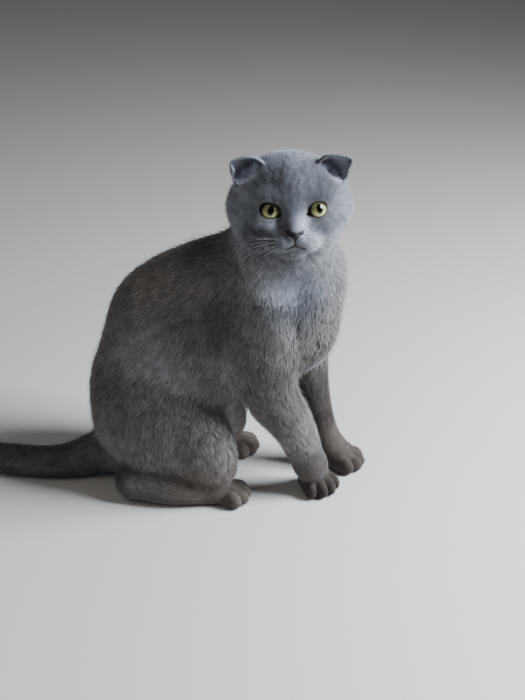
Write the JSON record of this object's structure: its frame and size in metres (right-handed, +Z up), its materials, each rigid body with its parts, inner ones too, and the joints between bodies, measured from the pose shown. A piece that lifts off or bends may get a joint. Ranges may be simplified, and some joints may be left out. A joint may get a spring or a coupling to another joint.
{
  "type": "scottish fold cat",
  "caption": "Short-haired fold-eared cat sitting upright, its head turned over its right side and its tail laid out behind it.",
  "frame": {"origin": "on the floor, at the centre of the bottom of the whole cat's bounding box, tail included", "axes": "+Z up; the hips and forelegs face -Y and the tail runs out along +Y; the cat's left side is +X; the head is turned about 73 degrees towards the cat's right, -X"},
  "size_m": [0.1578, 0.498, 0.3677],
  "materials": {
    "coat": "short plush fur, blue-grey",
    "eye": "wet and glossy"
  },
  "bodies": {
    "root": {"head": "coat", "ear_left": "coat", "ear_right": "coat", "eye_left": "eye", "eye_right": "eye", "neck": "coat", "torso": "coat", "foreleg_left": "coat", "foreleg_right": "coat", "forepaw_left": "coat", "forepaw_right": "coat", "thigh_left": "coat", "thigh_right": "coat", "hind_foot_left": "coat", "hind_foot_right": "coat", "tail_base": "coat", "tail_middle": "coat", "tail_tip": "coat"}
  },
  "joints": []
}
